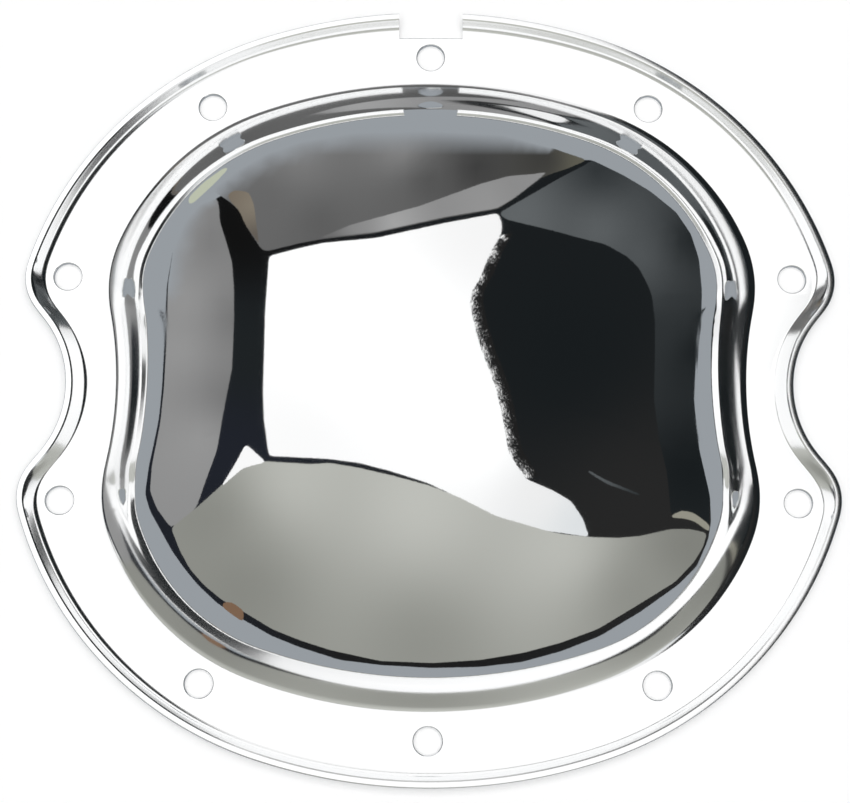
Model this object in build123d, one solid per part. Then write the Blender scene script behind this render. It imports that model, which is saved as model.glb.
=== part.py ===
from build123d import *
import math
import os

os.makedirs("parts", exist_ok=True)

# Differential cover: one pressing of sheet steel, the dome up and the gasket face on z = 0.
# Lengths in mm, angles in degrees. The origin is the middle of the bolt pattern,
# and +Y points to the gap in the edge lip, which is the cover's top on the vehicle.

sheet = 2.0

# Ten holes, the same in all four quarters, about 82.5 mm (3 1/4 in) from one to the next
hole_radius = 5.0
end_hole_y = 124.8
corner_hole = (80.2, 105.3)
side_hole = (131.3, 40.9)

# A quarter outline starts at the middle of the top edge and runs clockwise on tangent arcs:
# top, shoulder and ear, then a hollow arc that closes it on the X axis at the side notch
flange_turns = (18.0, 55.0, 61.0)
flange_top, flange_radii = 134.1, (193.0, 120.0, 15.0)

# The lip's edge and the dome's base line: how far they lie beyond or inside the flange's
# outline at the top, and how much longer or shorter their arcs' radii are
edge_beyond, edge_longer = 6.8, (4.0, 10.5, 3.5)
dome_inside, dome_shorter = 18.3, (7.5, 32.5, -29.5)
dome_turns = (20.0, 48.5, 33.5)
edge_top, dome_top = flange_top + edge_beyond, flange_top - dome_inside
edge_radii = [radius + more for radius, more in zip(flange_radii, edge_longer)]
dome_radii = [radius - less for radius, less in zip(flange_radii, dome_shorter)]

# Edge lip: it bends up from the flat flange and its rim is trimmed level
lip_height = 6.0
lip_slope = 60.0
lip_bend = 3.5

# Gap in the lip, where the flange ends in a straight edge
gap_width = 23.5
gap_floor = 132.4

# Dome: slope of the wall at distances inside the base line, joined by circular arcs. It
# leaves the flange in an easy bend and goes on steepening before it rolls over to the crown
base_bend = 4.8
foot_slope = 37.0
base_corner = base_bend * math.tan(math.radians(foot_slope / 2))
dome_slopes = ((base_corner, foot_slope), (9.5, 52.5), (13.0, 52.0), (18.0, 47.5), (25.5, 41.0), (dome_top, 0.0))

# The waist fills out on the way up, and is gone at this distance inside the base line
waist_end = 32.0

# The dome is lofted through rings, from just under the flange up to a spot at the crown
ring_insets = (-3.0, base_corner, 5.5, 9.5, 13.0, 18.0, 25.5, 34.0, 44.0, 56.0, 69.0, 82.0, 96.0, 107.0, 113.0)
points_per_arc = 5

# Two curves nearer than this count as one
touching = 0.05


def sin(angle):
    return math.sin(math.radians(angle))


def cos(angle):
    return math.cos(math.radians(angle))


def quarter_arcs(top, radii, turns, offset=0.0):
    """Arcs of a quarter outline, pushed outward by offset: centre, radius, start angle, sweep."""
    x, y, heading = 0.0, top + offset, 0.0
    arcs = []
    for radius, turn in zip(radii, turns):
        radius += offset
        centre = (x + radius * sin(heading), y - radius * cos(heading))
        arcs.append((centre, radius, heading + 90, -turn))
        heading -= turn
        x, y = centre[0] - radius * sin(heading), centre[1] + radius * cos(heading)
    hollow = -y / cos(heading)
    arcs.append(((x - hollow * sin(heading), 0.0), hollow, heading - 90, -90 - heading))
    return arcs


def whole_arcs(quarter):
    """The arcs of a quarter outline and of its mirror images."""
    lower = [((x, -y), radius, -start, -sweep) for (x, y), radius, start, sweep in quarter]
    right = quarter + lower
    return right + [((-x, y), radius, 180 - start, -sweep) for (x, y), radius, start, sweep in right]


def outline(top, radii, turns, offset=0.0, height=0.0):
    """Closed outline at a height."""
    arcs = whole_arcs(quarter_arcs(top, radii, turns, offset))
    return Wire([CenterArc((*centre, height), radius, start, sweep) for centre, radius, start, sweep in arcs])


def base_points():
    """Points round the dome's base line, in order of their direction."""
    points = []
    for (x, y), radius, start, sweep in whole_arcs(quarter_arcs(dome_top, dome_radii, dome_turns)):
        for step in range(points_per_arc):
            angle = start + sweep * (step + 0.5) / points_per_arc
            points.append((x + radius * cos(angle), y + radius * sin(angle)))
    return sorted(points, key=lambda point: math.atan2(point[1], point[0]))


def wall(inset):
    """Height and slope of the dome's outer surface at a distance inside the base line."""
    height = sheet
    for (near, steep), (far, gentle) in zip(dome_slopes, dome_slopes[1:]):
        radius = (far - near) / (sin(steep) - sin(gentle))
        slope = math.degrees(math.asin(sin(steep) - (min(inset, far) - near) / radius))
        height += radius * (cos(slope) - cos(steep))
        if inset <= far:
            break
    return height, slope


def dome(depth):
    """Solid under the dome's surface, sunk by a depth measured square to the sheet."""
    (ear_x, ear_y), ear_radius, *_ = quarter_arcs(dome_top, dome_radii, dome_turns)[2]
    rings = []
    for inset in ring_insets:
        height, slope = wall(inset)
        share = 1 - (inset + depth * sin(slope)) / dome_top
        keep = 1 - (1 - share) ** 2  # the outline turns round towards the crown
        climb = min(max(inset, 0.0) / waist_end, 1.0)
        fill = climb**2 * (3 - 2 * climb)
        ring = []
        for x, y in base_points():
            if abs(y) < ear_y:
                x += math.copysign(fill * (ear_x + ear_radius - abs(x)), x)
            size = share * (keep + (1 - keep) * dome_top / math.hypot(x, y))
            ring.append((x * size, y * size, height - depth * cos(slope)))
        rings.append(Wire(Spline(ring, periodic=True)))
    return Solid.make_loft(rings)


def edges_along(body, line, reach):
    """Level edges of a body that lie at an outline's height and within a reach of it."""
    height = line.center().Z
    level = [edge for edge in body.edges() if abs(edge.center().Z - height) < touching]
    return [edge for edge in level if line.distance_to(edge @ 0.5) < reach]


# Flange and lip, as a tray with a sloping edge
bend_reach = lip_bend * math.tan(math.radians(lip_slope / 2))
outer_reach = bend_reach + sheet * math.tan(math.radians(lip_slope / 2))
rim_width = sheet / sin(lip_slope)
foot_line = outline(flange_top, flange_radii, flange_turns, outer_reach, 0.0)
bend_line = outline(flange_top, flange_radii, flange_turns, bend_reach, sheet)
tray = Solid.make_loft([foot_line, outline(edge_top, edge_radii, flange_turns, 0.0, lip_height)], ruled=True)
tray -= Solid.make_loft(
    [bend_line, outline(edge_top, edge_radii, flange_turns, -rim_width, lip_height)], ruled=True
)
tray = fillet(edges_along(tray, bend_line, touching), lip_bend)
tray = fillet(edges_along(tray, foot_line, touching), lip_bend + sheet)

# Dome, pressed out of the same sheet, with a bend all round where it leaves the flange
under = Pos(0, 0, -edge_top) * Box(3 * edge_top, 3 * edge_top, 2 * edge_top)
cover = tray + (dome(0.0) - under) - dome(sheet)
for height, radius in ((sheet, base_bend), (0.0, base_bend + sheet)):
    base_line = outline(dome_top, dome_radii, dome_turns, 0.0, height)
    cover = fillet(edges_along(cover, base_line, radius), radius)

# Gap in the lip
gap_depth = edge_top - gap_floor
cover -= Pos(0, gap_floor + gap_depth, 0) * Box(gap_width, 2 * gap_depth, 3 * lip_height)

# Bolt holes
holes = [(0, end_hole_y), (0, -end_hole_y)]
for x, y in (corner_hole, side_hole):
    holes += [(x * across, y * along) for across in (1, -1) for along in (1, -1)]
for x, y in holes:
    cover -= Pos(x, y, 0) * Cylinder(hole_radius, 3 * sheet)

export_step(cover, "parts/cover.step")
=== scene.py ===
import math

import bpy
import numpy as np
from mathutils import Euler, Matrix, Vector
from mathutils.bvhtree import BVHTree
from mathutils.geometry import delaunay_2d_cdt
from mathutils.interpolate import poly_3d_calc


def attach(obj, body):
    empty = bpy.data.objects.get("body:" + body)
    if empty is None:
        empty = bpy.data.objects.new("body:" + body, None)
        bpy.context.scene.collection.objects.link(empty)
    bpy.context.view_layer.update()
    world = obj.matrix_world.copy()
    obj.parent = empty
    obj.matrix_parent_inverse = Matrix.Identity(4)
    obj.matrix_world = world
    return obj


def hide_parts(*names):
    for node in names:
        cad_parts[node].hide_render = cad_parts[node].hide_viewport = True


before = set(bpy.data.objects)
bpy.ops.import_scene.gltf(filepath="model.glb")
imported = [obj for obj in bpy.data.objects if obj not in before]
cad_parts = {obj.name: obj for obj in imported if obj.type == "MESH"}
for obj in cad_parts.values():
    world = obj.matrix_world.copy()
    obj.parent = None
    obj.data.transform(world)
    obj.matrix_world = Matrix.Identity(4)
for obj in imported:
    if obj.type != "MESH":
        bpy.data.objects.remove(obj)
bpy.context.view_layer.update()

# The pressing
# One piece of 2 mm sheet steel, drawn in a press: a domed bulge with waisted sides, a flat
# flange round it that the bolts and the gasket take, and an edge lip turned up all round.

mm = 0.001
sheet = 2.0

# Outlines in mm, as in the CAD: a quarter runs from the middle of the top edge clockwise on
# tangent arcs, and a hollow arc closes it at the side notch
flange_turns = (18.0, 55.0, 61.0)
flange_top, flange_radii = 134.1, (193.0, 120.0, 15.0)
edge_top, edge_radii = 140.9, (197.0, 130.5, 18.5)
dome_turns = (20.0, 48.5, 33.5)
dome_top, dome_radii = 115.8, (185.5, 87.5, 44.5)

points_round = 600
directions = np.arange(points_round) * 2 * math.pi / points_round  # clockwise from +Y
steps_per_arc = 300
arc_softening = 3  # rounds of smoothing, as a press tool's blended arcs have


def sine(degrees):
    return math.sin(math.radians(degrees))


def cosine(degrees):
    return math.cos(math.radians(degrees))


def outline(top, radii, turns):
    """An outline's distance from the middle in each direction, from its quarter's arcs."""
    x, y, heading = 0.0, top, 0.0
    bearings, distances = [], []
    for radius, turn in list(zip(radii, turns)) + [(None, None)]:
        if radius is None:  # the hollow arc that ends square to the X axis
            radius, turn = y / cosine(heading), 90 + heading
        centre = (x + radius * sine(heading), y - radius * cosine(heading))
        for step in range(steps_per_arc):
            angle = heading - turn * step / steps_per_arc
            px, py = centre[0] - radius * sine(angle), centre[1] + radius * cosine(angle)
            bearings.append(math.atan2(px, py))
            distances.append(math.hypot(px, py))
        heading -= turn
        x, y = centre[0] - radius * sine(heading), centre[1] + radius * cosine(heading)
    folded = np.arctan2(np.abs(np.sin(directions)), np.abs(np.cos(directions)))
    reach = np.interp(folded, bearings, distances)
    for _ in range(arc_softening):
        reach = (np.roll(reach, 1) + 2 * reach + np.roll(reach, -1)) / 4
    return reach


def points_at(reach):
    return np.stack([reach * np.sin(directions), reach * np.cos(directions)], 1)


def outward(points):
    """Unit normals of a closed line of points, away from the middle."""
    along = np.roll(points, -1, 0) - np.roll(points, 1, 0)
    normals = np.stack([-along[:, 1], along[:, 0]], 1)
    return normals / np.linalg.norm(normals, axis=1)[:, None]


flange_line = points_at(outline(flange_top, flange_radii, flange_turns))
edge_line = points_at(outline(edge_top, edge_radii, flange_turns))

# Dome: slope of the wall at distances inside the base line, joined by circular arcs
base_bend = 4.8
wall_slope = 37.0
bend_end = base_bend * sine(wall_slope)
dome_slopes = (
    (0.0, 0.0), (bend_end, wall_slope), (9.5, 52.5), (13.0, 52.0), (18.0, 47.5), (25.5, 41.0),
    (dome_top, 0.0))


def wall(inset):
    """Height and slope of the dome's outer surface at a distance inside the base line."""
    height = sheet
    for (near, steep), (far, gentle) in zip(dome_slopes, dome_slopes[1:]):
        radius = (far - near) / (sine(steep) - sine(gentle))
        slope = math.degrees(math.asin(sine(steep) - (min(inset, far) - near) / radius))
        height += radius * (cosine(slope) - cosine(steep))
        if inset <= far:
            break
    return height, slope


base_line = points_at(outline(dome_top, dome_radii, dome_turns))
ear_x, ear_y = np.abs(base_line[np.argmax(base_line[:, 0])])
waist_fade = 32.0


def dome_ring(inset, sunk=0.0):
    """Points round the dome at a distance inside its base line; the waist fills up on the way."""
    share = 1 - (inset + sunk) / dome_top
    keep = 1 - (1 - share) ** 2
    climb = min(inset / waist_fade, 1.0)
    fill = climb ** 2 * (3 - 2 * climb)
    x, y = base_line.T
    x = np.where(np.abs(y) < ear_y, x + np.sign(x) * fill * (ear_x - np.abs(x)), x)
    size = share * (keep + (1 - keep) * dome_top / np.hypot(x, y))
    return np.column_stack([x * size, y * size])


rings = []


def add_ring(points, height):
    heights = np.full(points_round, height) if np.isscalar(height) else height
    rings.append(np.column_stack([points, heights]))


def bend(start, towards, radius, slope, steps, floor):
    """Rings of a bend that leaves a flat sheet at start and rises to a slope, in radians."""
    for step in range(steps + 1):
        angle = slope * step / steps
        add_ring(start + towards * (radius * np.sin(angle))[:, None], floor + radius * (1 - np.cos(angle)))


# From the crown down the outside of the dome, with closer rings where the wall turns faster,
# to the bend that leads into the flange. A last ring keeps the flat flange flat.
crown_spot, upper_end, lower_start = 2.0, 28.0, 26.5
upper_rings, lower_rings, base_rings = 42, 26, 13
flat_margin = 0.4
crown_height, _ = wall(dome_top)
upper = np.linspace(dome_top - crown_spot, upper_end, upper_rings)
lower = np.linspace(lower_start, bend_end, lower_rings)
for inset in np.concatenate([upper, lower]):
    add_ring(dome_ring(inset), wall(inset)[0])
for slope in np.linspace(wall_slope, 0.0, base_rings)[1:]:
    add_ring(dome_ring(base_bend * sine(slope)), sheet + base_bend * (1 - cosine(slope)))
add_ring(base_line + flat_margin * outward(base_line), sheet)

# Lip: a bend up from the flange and a straight flare to a level rim, with its corners eased
lip_height, lip_slope, lip_bend = 6.0, 60.0, 3.5
rim_width = sheet / sine(lip_slope)
bend_reach = lip_bend * math.tan(math.radians(lip_slope / 2))
foot_reach = bend_reach + sheet * math.tan(math.radians(lip_slope / 2))
bend_steps = 8
flare_shares = (0.7, 0.9)
eased, inner_share = 0.5, 0.6
ease_turns = (0.0, 30.0, 60.0, 90.0)
flange_out, edge_out = outward(flange_line), outward(edge_line)


def lip_face(corner_reach, floor, rim_inset):
    """Corner line of a lip face with the sheet, the way it flares, its run and its slope."""
    corner = flange_line + corner_reach * flange_out
    rim = edge_line - rim_inset * edge_out
    run = np.linalg.norm(rim - corner, axis=1)
    return corner, (rim - corner) / run[:, None], run, np.arctan2(lip_height - floor, run)


inside, flare, run, slope = lip_face(bend_reach, sheet, rim_width)
start = inside - flare * (lip_bend * np.tan(slope / 2))[:, None]
add_ring(start - flat_margin * flare, sheet)
bend(start, flare, lip_bend, slope, bend_steps, sheet)
for share in flare_shares:
    add_ring(inside + flare * (run * share)[:, None], sheet + (lip_height - sheet) * share)
for turn in ease_turns:
    inset = rim_width + eased * (inner_share - sine(turn))
    add_ring(edge_line - edge_out * inset, lip_height - inner_share * eased * (1 - sine(turn)))
for turn in ease_turns:
    add_ring(edge_line - edge_out * eased * (1 - sine(turn)), lip_height - eased * (1 - cosine(turn)))

# Back of the lip, the gasket face and the hollow of the dome
back_share = 0.85
outside, flare, run, slope = lip_face(foot_reach, 0.0, 0.0)
start = outside - flare * ((lip_bend + sheet) * np.tan(slope / 2))[:, None]
first = len(rings)
add_ring(outside + flare * (run * back_share)[:, None], lip_height * back_share)
bend(start, flare, lip_bend + sheet, slope, bend_steps, 0.0)
rings[first + 1:] = rings[:first:-1]
add_ring(start - flat_margin * flare, 0.0)
add_ring(base_line + flat_margin * outward(base_line), 0.0)

hollow_bend = base_bend + sheet
hollow_middle, hollow_spot = 24.0, 3.0
hollow_base_rings, hollow_low_rings, hollow_high_rings = 7, 10, 13
for slope in np.linspace(0.0, wall_slope, hollow_base_rings):
    add_ring(dome_ring(hollow_bend * sine(slope)), hollow_bend * (1 - cosine(slope)))
low = np.linspace(bend_end, hollow_middle, hollow_low_rings)[1:]
high = np.linspace(hollow_middle, dome_top - hollow_spot, hollow_high_rings)[1:]
for inset in np.concatenate([low, high]):
    height, slope = wall(inset)
    add_ring(dome_ring(inset, sheet * sine(slope)), height - sheet * cosine(slope))

# Faces between the rings, and a fan at each crown
crowns = [[[0, 0, crown_height]], [[0, 0, crown_height - sheet]]]
points = np.concatenate(rings + crowns) * mm
crown, hollow_crown = len(points) - 2, len(points) - 1
faces = []
for level in range(len(rings) - 1):
    for here in range(points_round):
        on = (here + 1) % points_round
        a, b = level * points_round, (level + 1) * points_round
        faces.append((a + here, a + on, b + on, b + here))
last = (len(rings) - 1) * points_round
for here in range(points_round):
    on = (here + 1) % points_round
    faces.append((crown, on, here))
    faces.append((hollow_crown, last + here, last + on))
pressing = bpy.data.meshes.new("cover_pressing")
pressing.from_pydata(points.tolist(), [], faces)
cover = bpy.data.objects.new("cover_pressing", pressing)
bpy.context.scene.collection.objects.link(cover)

# The holes and the gap
# Ten 10 mm holes are punched through the flange, with their edges rolled in a little,
# and one piece of the lip is cut away at the top, down to a straight edge.

hole_radius, rolled_edge = 5.0, 0.45
end_hole_y = 124.8
corner_hole = (80.2, 105.3)
side_hole = (131.3, 40.9)
gap_width, gap_floor = 23.5, 132.4

holes = [(0, end_hole_y), (0, -end_hole_y)]
for x, y in (corner_hole, side_hole):
    holes += [(x * across, y * along) for across in (1, -1) for along in (1, -1)]

# The punch's profile, as radius and height, with a flare that rolls both edges of the hole
roll_turns = (20, 32, 44, 56, 68, 79, 90)
punch_beyond = 2.0
punch = []
for level, side in ((sheet, 1), (0.0, -1)):
    rolled = [(hole_radius + rolled_edge * (1 - sine(turn)), level - side * rolled_edge * (1 - cosine(turn)))
              for turn in roll_turns]
    lift = rolled_edge * (1 - cosine(roll_turns[0]))
    rolled = [(radius, height + side * lift * (90 - roll_turns[0]) / 90) for radius, height in rolled]
    rolled = [(rolled[0][0], level + side * punch_beyond)] + rolled
    punch += rolled if side > 0 else rolled[::-1]

cut_points, cut_faces = [], []
sides = 96
for x, y in holes:
    first = len(cut_points)
    for radius, height in punch:
        cut_points += [
            (x + radius * sine(360 * k / sides), y + radius * cosine(360 * k / sides), height)
            for k in range(sides)]
    for level in range(len(punch) - 1):
        a, b = first + level * sides, first + (level + 1) * sides
        cut_faces += [(a + k, a + (k + 1) % sides, b + (k + 1) % sides, b + k) for k in range(sides)]
    cut_faces.append([first + k for k in range(sides)][::-1])
    cut_faces.append([first + (len(punch) - 1) * sides + k for k in range(sides)])

# The gap's cutter has the same profile along its straight edge
first = len(cut_points)
half, deep = gap_width / 2, 3 * lip_height
cutter_end = edge_top + 10
section = [(gap_floor - (radius - hole_radius), height) for radius, height in punch]
section = [(section[0][0], deep)] + section[1:-1] + [(section[-1][0], -deep)]
section += [(cutter_end, -deep), (cutter_end, deep)]
cut_points += [(x, y, z) for x in (-half, half) for y, z in section]
count = len(section)
cut_faces += [[first + k for k in range(count)][::-1], [first + count + k for k in range(count)]]
for k in range(count):
    on = (k + 1) % count
    cut_faces.append([first + k, first + on, first + on + count, first + k + count])

punches = bpy.data.meshes.new("punches")
punches.from_pydata([Vector(point) * mm for point in cut_points], [], cut_faces)
tool = bpy.data.objects.new("punches", punches)
bpy.context.scene.collection.objects.link(tool)
for mesh in (pressing, punches):
    mesh.update()
cut = cover.modifiers.new("punched", "BOOLEAN")
cut.operation, cut.object, cut.solver = "DIFFERENCE", tool, "MANIFOLD"
bpy.context.view_layer.update()
shaped = bpy.data.meshes.new_from_object(cover.evaluated_get(bpy.context.evaluated_depsgraph_get()))
cover.modifiers.clear()
cover.data = shaped
bpy.data.objects.remove(tool)
sharp_from = 17
shaped.shade_smooth()
shaped.set_sharp_from_angle(angle=math.radians(sharp_from))
shaped.materials.clear()

# Each point says how far it belongs to the lip, whose polish is duller
lip_onset = 0.6
flange_reach = np.hypot(*flange_line.T)
bearings = [math.atan2(v.co.x, v.co.y) % (2 * math.pi) for v in shaped.vertices]
reach = np.interp(bearings, np.append(directions, 2 * math.pi), np.append(flange_reach, flange_reach[0]))
on_lip = shaped.attributes.new("lip", "FLOAT", "POINT")
for corner, vertex, far in zip(on_lip.data, shaped.vertices, reach):
    corner.value = min(max((math.hypot(vertex.co.x, vertex.co.y) / mm - far) / lip_onset, 0.0), 1.0)

# Chrome
# Bright nickel and chrome plating on the polished steel. It is a near-perfect mirror, with
# slow waves and fine pits that only show along the edge of a reflection.

plating_colour = (0.955, 0.958, 0.96, 1)
# Roughness by height: the hollow bend at the dome's foot is duller than the rest
polish_stops = ((2.02, 0.05), (2.2, 0.12), (4.5, 0.12), (10.0, 0.03))
polish_top = 12
lip_roughness = 0.15
wave_scale, wave_detail, wave_strength, wave_depth = 28, 1.5, 0.3, 0.05
pit_scale, pit_detail, pit_strength, pit_depth = 1600, 2, 0.05, 0.02

chrome = bpy.data.materials.new("chrome")
chrome.use_nodes = True
nodes, links = chrome.node_tree.nodes, chrome.node_tree.links
shader = nodes["Principled BSDF"]
shader.inputs["Metallic"].default_value = 1.0
shader.inputs["Base Color"].default_value = plating_colour
place = nodes.new("ShaderNodeTexCoord")
height = nodes.new("ShaderNodeSeparateXYZ")
share = nodes.new("ShaderNodeMapRange")
share.inputs["From Max"].default_value = polish_top * mm
polish = nodes.new("ShaderNodeValToRGB")
for spot, (level, rough) in enumerate(polish_stops):
    stop = polish.color_ramp.elements[spot] if spot < 2 else polish.color_ramp.elements.new(1.0)
    stop.position, stop.color = level / polish_top, (rough, rough, rough, 1)
links.new(place.outputs["Object"], height.inputs[0])
links.new(height.outputs["Z"], share.inputs["Value"])
links.new(share.outputs["Result"], polish.inputs["Fac"])
lip = nodes.new("ShaderNodeAttribute")
lip.attribute_name = "lip"
duller = nodes.new("ShaderNodeMix")
duller.inputs["B"].default_value = lip_roughness
links.new(lip.outputs["Fac"], duller.inputs["Factor"])
links.new(polish.outputs["Color"], duller.inputs["A"])
links.new(duller.outputs["Result"], shader.inputs["Roughness"])
waves = nodes.new("ShaderNodeTexNoise")
waves.inputs["Scale"].default_value = wave_scale
waves.inputs["Detail"].default_value = wave_detail
pits = nodes.new("ShaderNodeTexNoise")
pits.inputs["Scale"].default_value = pit_scale
pits.inputs["Detail"].default_value = pit_detail
soft = nodes.new("ShaderNodeBump")
soft.inputs["Strength"].default_value = wave_strength
soft.inputs["Distance"].default_value = wave_depth * mm
fine = nodes.new("ShaderNodeBump")
fine.inputs["Strength"].default_value = pit_strength
fine.inputs["Distance"].default_value = pit_depth * mm
for texture, bump in ((waves, soft), (pits, fine)):
    links.new(place.outputs["Object"], texture.inputs["Vector"])
    links.new(texture.outputs["Fac"], bump.inputs["Height"])
links.new(soft.outputs["Normal"], fine.inputs["Normal"])
links.new(fine.outputs["Normal"], shader.inputs["Normal"])
shaped.materials.append(chrome)

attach(cover, "root")
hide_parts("cover")

# The camera
# It looks down on the cover from a little below the bottom bolt, as in the photograph,
# whose frame is 850 by 803 pixels.

frame_width, frame_height = 850, 803
focal_pixels = 2000.0
camera_place = (0.875, -134.679, 707.178)
camera_turn = (10.447, 0.1443, 0.2689)
nearest_seen = 0.01
camera = bpy.data.objects.new("camera", bpy.data.cameras.new("camera"))
camera.location = Vector(camera_place) * mm
camera.rotation_euler = Euler([math.radians(turn) for turn in camera_turn])
camera.data.lens = focal_pixels * camera.data.sensor_width / frame_width
camera.data.clip_start = nearest_seen
bpy.context.scene.collection.objects.link(camera)
bpy.context.scene.camera = camera

# The table
# A sheet of white paper, which the camera sees as plain white with the cover's soft shadow.
# The chrome mirrors an evenly lit grey tabletop under the cover, and the tent beyond its rim.

paper_white = (0.7, 0.7, 0.7, 1)
paper_glow = 0.32
tabletop_light = (0.32, 0.345, 0.37)
sheet_reach, tabletop_radius, under_cover, rim_step = 6.0, 0.178, 0.0002, 3

paper = bpy.data.materials.new("paper")
paper.use_nodes = True
nodes, links = paper.node_tree.nodes, paper.node_tree.links
nodes.remove(nodes["Principled BSDF"])
seen = nodes.new("ShaderNodeBsdfDiffuse")
seen.inputs["Color"].default_value = paper_white
glow = nodes.new("ShaderNodeEmission")
glow.inputs["Strength"].default_value = paper_glow
both = nodes.new("ShaderNodeAddShader")
links.new(seen.outputs[0], both.inputs[0])
links.new(glow.outputs[0], both.inputs[1])
links.new(both.outputs[0], nodes["Material Output"].inputs["Surface"])

even_grey = bpy.data.materials.new("even_grey")
even_grey.use_nodes = True
nodes, links = even_grey.node_tree.nodes, even_grey.node_tree.links
nodes.remove(nodes["Principled BSDF"])
glow = nodes.new("ShaderNodeEmission")
glow.inputs["Color"].default_value = (*tabletop_light, 1)
links.new(glow.outputs[0], nodes["Material Output"].inputs["Surface"])

corners = [(x * sheet_reach, y * sheet_reach) for x, y in ((-1, -1), (1, -1), (1, 1), (-1, 1))]
rim = [(tabletop_radius * cosine(turn), tabletop_radius * sine(turn)) for turn in range(0, 360, rim_step)]
for name, edge, material in (("paper_sheet", corners, paper), ("tabletop", rim, even_grey)):
    mesh = bpy.data.meshes.new(name)
    mesh.from_pydata([(x, y, -under_cover) for x, y in edge], [], [range(len(edge))])
    mesh.materials.append(material)
    piece = bpy.data.objects.new(name, mesh)
    bpy.context.scene.collection.objects.link(piece)
    piece.visible_glossy = name == "tabletop"
    piece.visible_camera = piece.visible_diffuse = piece.visible_shadow = name == "paper_sheet"

# The light tent
# Far off round the cover hang white and grey cloths, with dark gaps between them. The chrome
# mirrors them, and each is given by the pixels of the photograph where its border shows.
# The cloths glow with their own light and only reflections see them. Their tones are painted reflection, the
# light and shade of the surroundings painted in, not light from the lamps falling on them.

# How far off things hang, in metres: the nearer ones cover the further ones
backing_distance, cloth_distance, fringe_distance, front_distance, nearest_distance = 4.6, 4.0, 3.95, 3.9, 3.8
tabletop_clearance = 0.001

# Steps between a cloth's points in pixels, and rounds of smoothing of its border
border_step, inner_step, border_softening = 4, 12, 1
same_point = 0.001

# How softly the light runs from one tone to the next, and into the grey of the tabletop
tone_reach, fringe_tone_reach, tone_falloff = 25, 5, 3
narrow_fade, wide_fade, fade_taper = 4, 20, 14

# Loose threads: each spot of the frayed edge is lit or dark, and more are lit where it is light
thread_stretch, thread_detail = (60, 18, 18), 4
thread_onset, thread_full, thread_dark = 0.9, 1.1, 0.015

bpy.context.view_layer.update()
surface = BVHTree.FromObject(cover, bpy.context.evaluated_depsgraph_get())
turned = camera.rotation_euler.to_matrix()


def mirrored(pixel, distance):
    """Point that far off which the cover mirrors at a pixel of the photograph, or on the table."""
    across, up = pixel[0] - frame_width / 2, frame_height / 2 - pixel[1]
    ray = turned @ Vector((across / focal_pixels, up / focal_pixels, -1))
    hit, _, face, _ = surface.ray_cast(camera.location, ray.normalized())
    corners = shaped.polygons[face].vertices
    weights = poly_3d_calc([shaped.vertices[v].co for v in corners], hit)
    normal = sum((shaped.vertices[v].normal * w for v, w in zip(corners, weights)), Vector()).normalized()
    away = ray.normalized().reflect(normal)
    if distance is None:
        return hit + away * ((hit.z - tabletop_clearance) / -away.z)
    return hit + away * (-hit.dot(away) + math.sqrt(hit.dot(away) ** 2 - hit.length_squared + distance ** 2))


def linear(tone):
    """Amounts of light that a picture shows as this colour, out of 255."""
    return Vector([((value / 255 + 0.055) / 1.055) ** 2.4 for value in tone])


def border_points(border, melting):
    """Closely spaced points along a border, and how many lie on the stretches that melt away."""
    line, faded = [], 0
    for stretch, ((ax, ay), (bx, by)) in enumerate(zip(border, border[1:] + border[:1])):
        if stretch == melting:
            faded = len(line)
        steps = max(1, round(math.hypot(bx - ax, by - ay) / border_step))
        line += [Vector((ax + (bx - ax) * k / steps, ay + (by - ay) * k / steps)) for k in range(steps)]
    for _ in range(border_softening):
        line = [(line[k - 1] + 2 * line[k] + line[(k + 1) % len(line)]) / 4 for k in range(len(line))]
    return line, faded


def cloth_light(spot, tones, reach, melting_line):
    """Light of a cloth at a pixel, blended from its tones and faded along its melting border."""
    near = [1 / ((spot - Vector(place)).length + reach) ** tone_falloff for place, _ in tones]
    blend = sum((linear(tone) * n for n, (_, tone) in zip(near, tones)), Vector((0, 0, 0))) / sum(near)
    if melting_line:
        edge = min(min((spot - other).length / width for other, width in melting_line), 1)
        blend = Vector(tabletop_light).lerp(blend, edge * edge * (3 - 2 * edge))
    return blend


def cloth_material(name, threads):
    """Cloth that shines with its own light, and as loose threads along a frayed edge."""
    material = bpy.data.materials.new(name)
    material.use_nodes = True
    nodes, links = material.node_tree.nodes, material.node_tree.links
    nodes.remove(nodes["Principled BSDF"])
    glow, shades = nodes.new("ShaderNodeEmission"), nodes.new("ShaderNodeVertexColor")
    shades.layer_name = "light"
    links.new(shades.outputs["Color"], glow.inputs["Color"])
    if threads:
        place, spread = nodes.new("ShaderNodeTexCoord"), nodes.new("ShaderNodeMapping")
        spread.inputs["Scale"].default_value = thread_stretch
        noise, lit = nodes.new("ShaderNodeTexNoise"), nodes.new("ShaderNodeMapRange")
        noise.inputs["Scale"].default_value = 1.0
        noise.inputs["Detail"].default_value = thread_detail
        total = nodes.new("ShaderNodeMath")
        lit.inputs["From Min"].default_value = thread_onset
        lit.inputs["From Max"].default_value = thread_full
        lit.inputs["To Min"].default_value = thread_dark
        links.new(place.outputs["Object"], spread.inputs["Vector"])
        links.new(spread.outputs["Vector"], noise.inputs["Vector"])
        links.new(noise.outputs["Fac"], total.inputs[0])
        links.new(shades.outputs["Color"], total.inputs[1])
        links.new(total.outputs[0], lit.inputs["Value"])
        links.new(lit.outputs["Result"], glow.inputs["Color"])
    links.new(glow.outputs[0], nodes["Material Output"].inputs["Surface"])
    return material


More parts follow.
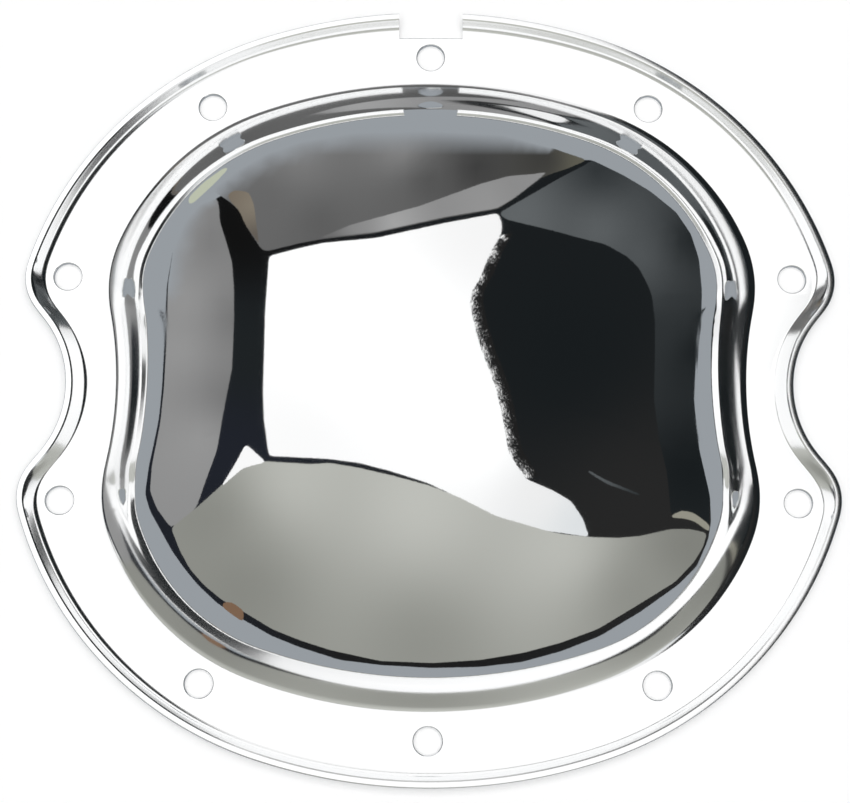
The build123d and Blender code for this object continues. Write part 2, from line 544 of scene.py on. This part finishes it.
def card(name, border, tones, distance=cloth_distance, threads=False, melting=0):
    """Cloth between these pixels, whose light runs softly between the tones of named pixels.

    Along its first stretches, as many as melting says, it fades into the grey of the tabletop.
    """
    line, faded = border_points(border, melting)
    xs, ys = [x for x, _ in border], [y for _, y in border]
    columns, rows = range(min(xs), max(xs), inner_step), range(min(ys), max(ys), inner_step)
    inner = [Vector((x, y)) for x in columns for y in rows]
    inner = [spot for spot in inner if min((spot - other).length for other in line) > inner_step / 2]
    loop = [(k, (k + 1) % len(line)) for k in range(len(line))]
    flat, _, triangles, *_ = delaunay_2d_cdt(line + inner, loop, [], 1, same_point)
    mesh = bpy.data.meshes.new(name)
    mesh.from_pydata([mirrored(spot, distance) for spot in flat], [], triangles)
    light = mesh.color_attributes.new("light", "FLOAT_COLOR", "POINT")
    reach = fringe_tone_reach if threads else tone_reach
    widening = wide_fade - narrow_fade
    widths = [narrow_fade + widening * min((faded - k) / fade_taper, 1) for k in range(faded)]
    melting_line = list(zip(line, widths))
    for corner, spot in zip(light.data, flat):
        corner.color = (*cloth_light(spot, tones, reach, melting_line), 1)
    piece = bpy.data.objects.new(name, mesh)
    bpy.context.scene.collection.objects.link(piece)
    mesh.materials.append(cloth_material(name, threads))
    piece.visible_camera = piece.visible_diffuse = piece.visible_shadow = False


def grey(value):
    return (value, value, value)


def cool(value):
    return (value - 3, value + 1, value + 3)


def olive(value):
    return (value, value + 1, value - 5)


# Dark cloth behind all the others, which shows in the gaps between them. It glows dimly, as painted shade for
# the unlit gaps.
backing_border = [
    (226, 192), (240, 184), (268, 170), (300, 165), (354, 158), (428, 154), (503, 155), (560, 160),
    (592, 160), (623, 175), (650, 191), (676, 212), (691, 234), (699, 259), (702, 291), (701, 330),
    (696, 360), (694, 400), (699, 448), (710, 496), (711, 522), (708, 540), (697, 566), (678, 585),
    (640, 612), (600, 636), (562, 651), (522, 662), (480, 667), (432, 668), (380, 665), (340, 660),
    (299, 647), (272, 636), (240, 618), (217, 603), (198, 585), (184, 568), (172, 551), (161, 531),
    (150, 511), (145, 494), (149, 465), (158, 425), (162, 388), (164, 350), (165, 320), (167, 285),
    (173, 250), (187, 222), (203, 208)]
backing_tones = [
    ((560, 350), cool(28)), ((650, 510), grey(40)), ((240, 230), grey(18)), ((240, 350), cool(34)),
    ((225, 450), (33, 36, 44)), ((430, 660), grey(30))]
card("dark_backing", backing_border, backing_tones, backing_distance)

# White panel overhead, with a frayed edge towards the dark side
ragged_edge = [
    (501, 235), (491, 251), (480, 278), (472, 291), (470, 303), (474, 325), (483, 355), (490, 372),
    (496, 389), (501, 410), (505, 432), (509, 453), (526, 479)]
panel_border = [
    (269, 256), (300, 248), (323, 243), (376, 238), (445, 223), (498, 213), (502, 223), *ragged_edge,
    (552, 490), (571, 501), (583, 519), (589, 537), (562, 533), (547, 531), (496, 516), (462, 499),
    (428, 483), (390, 471), (360, 463), (329, 459), (292, 457), (269, 456), (264, 420), (263, 393),
    (265, 316)]
panel_tones = [
    ((380, 340), grey(276)), ((490, 225), grey(250)), ((300, 450), grey(256)), ((540, 495), grey(242)),
    ((578, 522), cool(227)), ((480, 440), grey(268))]
card("overhead_panel", panel_border, panel_tones)

thread_run = (13, -3)
thread_ends = [(x + thread_run[0], y + thread_run[1]) for x, y in ragged_edge]
root_tone, end_tone = grey(205), grey(70)
fringe_tones = [(spot, root_tone) for spot in ragged_edge] + [(spot, end_tone) for spot in thread_ends]
card("fringe", ragged_edge + thread_ends[::-1], fringe_tones, fringe_distance, True)

# Grey cloth on the left, and the white corner that shows beneath it
left_border = [
    (168, 285), (173, 250), (185, 222), (200, 204), (217, 198), (219, 206), (220, 222), (226, 241),
    (232, 262), (234, 290), (234, 320), (232, 368), (222, 420), (217, 450), (206, 480), (196, 508),
    (171, 528), (157, 509), (150, 491), (152, 465), (160, 425), (164, 388), (166, 350), (167, 320)]
left_tones = [
    ((178, 240), grey(146)), ((210, 240), grey(124)), ((234, 320), grey(118)), ((180, 350), grey(153)),
    ((200, 440), grey(153)), ((185, 300), grey(152)), ((227, 395), grey(120))]
left_melting = 4
card("left_cloth", left_border, left_tones, melting=left_melting)

corner_border = [(246, 444), (266, 462), (243, 468), (221, 487), (235, 464)]
corner_tones = [((243, 460), grey(254))]
card("bright_corner", corner_border, corner_tones, front_distance)

# Grey cloth along the top, with a tan post on its left and a paler fold across it. The fold's paleness is
# painted light.
top_border = [
    (212, 190), (235, 172), (266, 154), (300, 142), (354, 133), (428, 131), (503, 135), (555, 149),
    (587, 160), (569, 168), (551, 174), (534, 181), (516, 197), (498, 209), (445, 218), (376, 233),
    (323, 239), (300, 243), (268, 251), (262, 250), (246, 226), (239, 210), (230, 202)]
top_tones = [
    ((300, 160), grey(126)), ((400, 150), grey(138)), ((270, 200), grey(104)), ((320, 222), grey(94)),
    ((475, 168), grey(60)), ((425, 182), grey(80)), ((395, 203), grey(100)), ((545, 158), grey(54)),
    ((578, 160), (98, 96, 84))]
top_melting = 7
card("top_cloth", top_border, top_tones, melting=top_melting)

post_border = [
    (227, 195), (234, 190), (249, 192), (254, 205), (256, 222), (259, 244), (246, 226), (239, 210),
    (231, 202)]
post_tones = [((233, 197), (118, 108, 96)), ((250, 205), (140, 132, 118)), ((255, 236), (92, 87, 82))]
card("tan_post", post_border, post_tones, front_distance)

fold_border = [
    (320, 238), (350, 225), (420, 206), (480, 184), (509, 176), (534, 174), (547, 172), (539, 179),
    (516, 197), (498, 208), (445, 217), (376, 232)]
fold_tones = [
    ((330, 236), grey(104)), ((440, 206), grey(142)), ((395, 224), grey(172)), ((360, 226), grey(140)),
    ((510, 188), grey(140)), ((490, 205), grey(152))]
card("fold", fold_border, fold_tones, front_distance)

# Slate cloth on the right, the pale ledge at its foot and a glint in the dark beside it
slate_border = [
    (585, 165), (592, 160), (623, 175), (650, 191), (676, 212), (691, 234), (699, 259), (702, 291),
    (701, 330), (696, 360), (694, 400), (699, 448), (710, 496), (709, 526), (694, 514), (682, 511),
    (671, 515), (667, 473), (659, 438), (654, 400), (655, 350), (655, 320), (652, 296), (648, 285),
    (639, 268), (628, 257), (605, 244), (580, 238), (555, 231), (505, 219), (499, 213), (534, 193),
    (560, 178)]
slate_tones = [
    ((520, 215), cool(103)), ((600, 230), cool(98)), ((600, 170), cool(50)), ((640, 255), cool(86)),
    ((690, 240), cool(34)), ((660, 330), cool(50)), ((700, 350), cool(28)), ((690, 470), cool(28))]
card("slate_cloth", slate_border, slate_tones)

ledge_border = [
    (670, 516), (682, 510), (694, 513), (710, 525), (709, 532), (694, 521), (682, 518), (673, 518)]
ledge_tones = [((685, 514), (150, 148, 136))]
card("ledge", ledge_border, ledge_tones, nearest_distance)

glint_border = [(588, 470), (608, 481), (640, 494), (640, 496), (607, 484), (588, 472)]
glint_tones = [((600, 478), cool(92)), ((638, 495), cool(50))]
card("glint", glint_border, glint_tones, nearest_distance)

# Olive cloth in front, below the camera, with a small brown box at its edge
front_border = [
    (171, 528), (196, 508), (223, 484), (243, 467), (263, 461), (292, 463), (311, 464), (330, 463),
    (360, 468), (390, 475), (428, 485), (462, 498), (496, 516), (547, 531), (562, 534), (589, 537),
    (617, 538), (640, 536), (671, 529), (690, 529), (707, 533), (703, 547), (694, 562), (675, 582),
    (636, 606), (598, 629), (560, 643), (522, 653), (480, 660), (432, 663), (380, 661), (330, 650),
    (299, 640), (272, 629), (244, 612), (222, 600), (204, 585), (190, 569), (180, 551)]
front_tones = [
    ((205, 520), olive(140)), ((300, 475), olive(188)), ((420, 500), olive(194)), ((560, 545), olive(190)),
    ((690, 545), olive(130)), ((240, 590), olive(138)), ((420, 650), olive(147)), ((640, 600), olive(144))]
card("front_cloth", front_border, front_tones)

box_border = [(222, 602), (232, 602), (244, 611), (243, 622), (234, 616), (222, 607)]
box_tones = [((234, 611), (126, 100, 80))]
card("brown_box", box_border, box_tones, nearest_distance)

# A strip of pale tape on the tabletop itself, where the mirrored rays come down to it
tape_border = [
    (188, 204), (189, 197), (204, 182), (225, 167), (229, 168), (216, 182), (200, 197), (192, 204)]
tape_tones = [((208, 186), (190, 195, 175))]
card("tape", tape_border, tape_tones, None)

# The light
# One wide soft lamp hangs overhead, and an even glow comes from all round. The camera sees
# plain white past the paper, and the chrome sees the same grey there as the tabletop has.

lamp_size, lamp_height, lamp_power = 3.0, 3.0, 88.0
fill_strength = 0.3

lamp = bpy.data.lights.new("overhead", "AREA")
lamp.shape, lamp.size, lamp.energy = "SQUARE", lamp_size, lamp_power
overhead = bpy.data.objects.new("overhead", lamp)
overhead.location = (0, 0, lamp_height)
overhead.visible_glossy = False
bpy.context.scene.collection.objects.link(overhead)

world = bpy.data.worlds.new("tent")
bpy.context.scene.world = world
world.use_nodes = True
nodes, links = world.node_tree.nodes, world.node_tree.links
around = nodes["Background"]
around.inputs["Color"].default_value = (1, 1, 1, 1)
around.inputs["Strength"].default_value = 1.0
walls = nodes.new("ShaderNodeBackground")
walls.inputs["Color"].default_value = (*tabletop_light, 1)
path = nodes.new("ShaderNodeLightPath")
choose = nodes.new("ShaderNodeMixShader")
fill = nodes.new("ShaderNodeBackground")
fill.inputs["Strength"].default_value = fill_strength
camera_choice = nodes.new("ShaderNodeMixShader")
links.new(path.outputs["Is Glossy Ray"], choose.inputs[0])
links.new(fill.outputs[0], choose.inputs[1])
links.new(walls.outputs[0], choose.inputs[2])
links.new(path.outputs["Is Camera Ray"], camera_choice.inputs[0])
links.new(choose.outputs[0], camera_choice.inputs[1])
links.new(around.outputs[0], camera_choice.inputs[2])
links.new(camera_choice.outputs[0], nodes["World Output"].inputs["Surface"])

bpy.context.scene.view_settings.view_transform = "Standard"
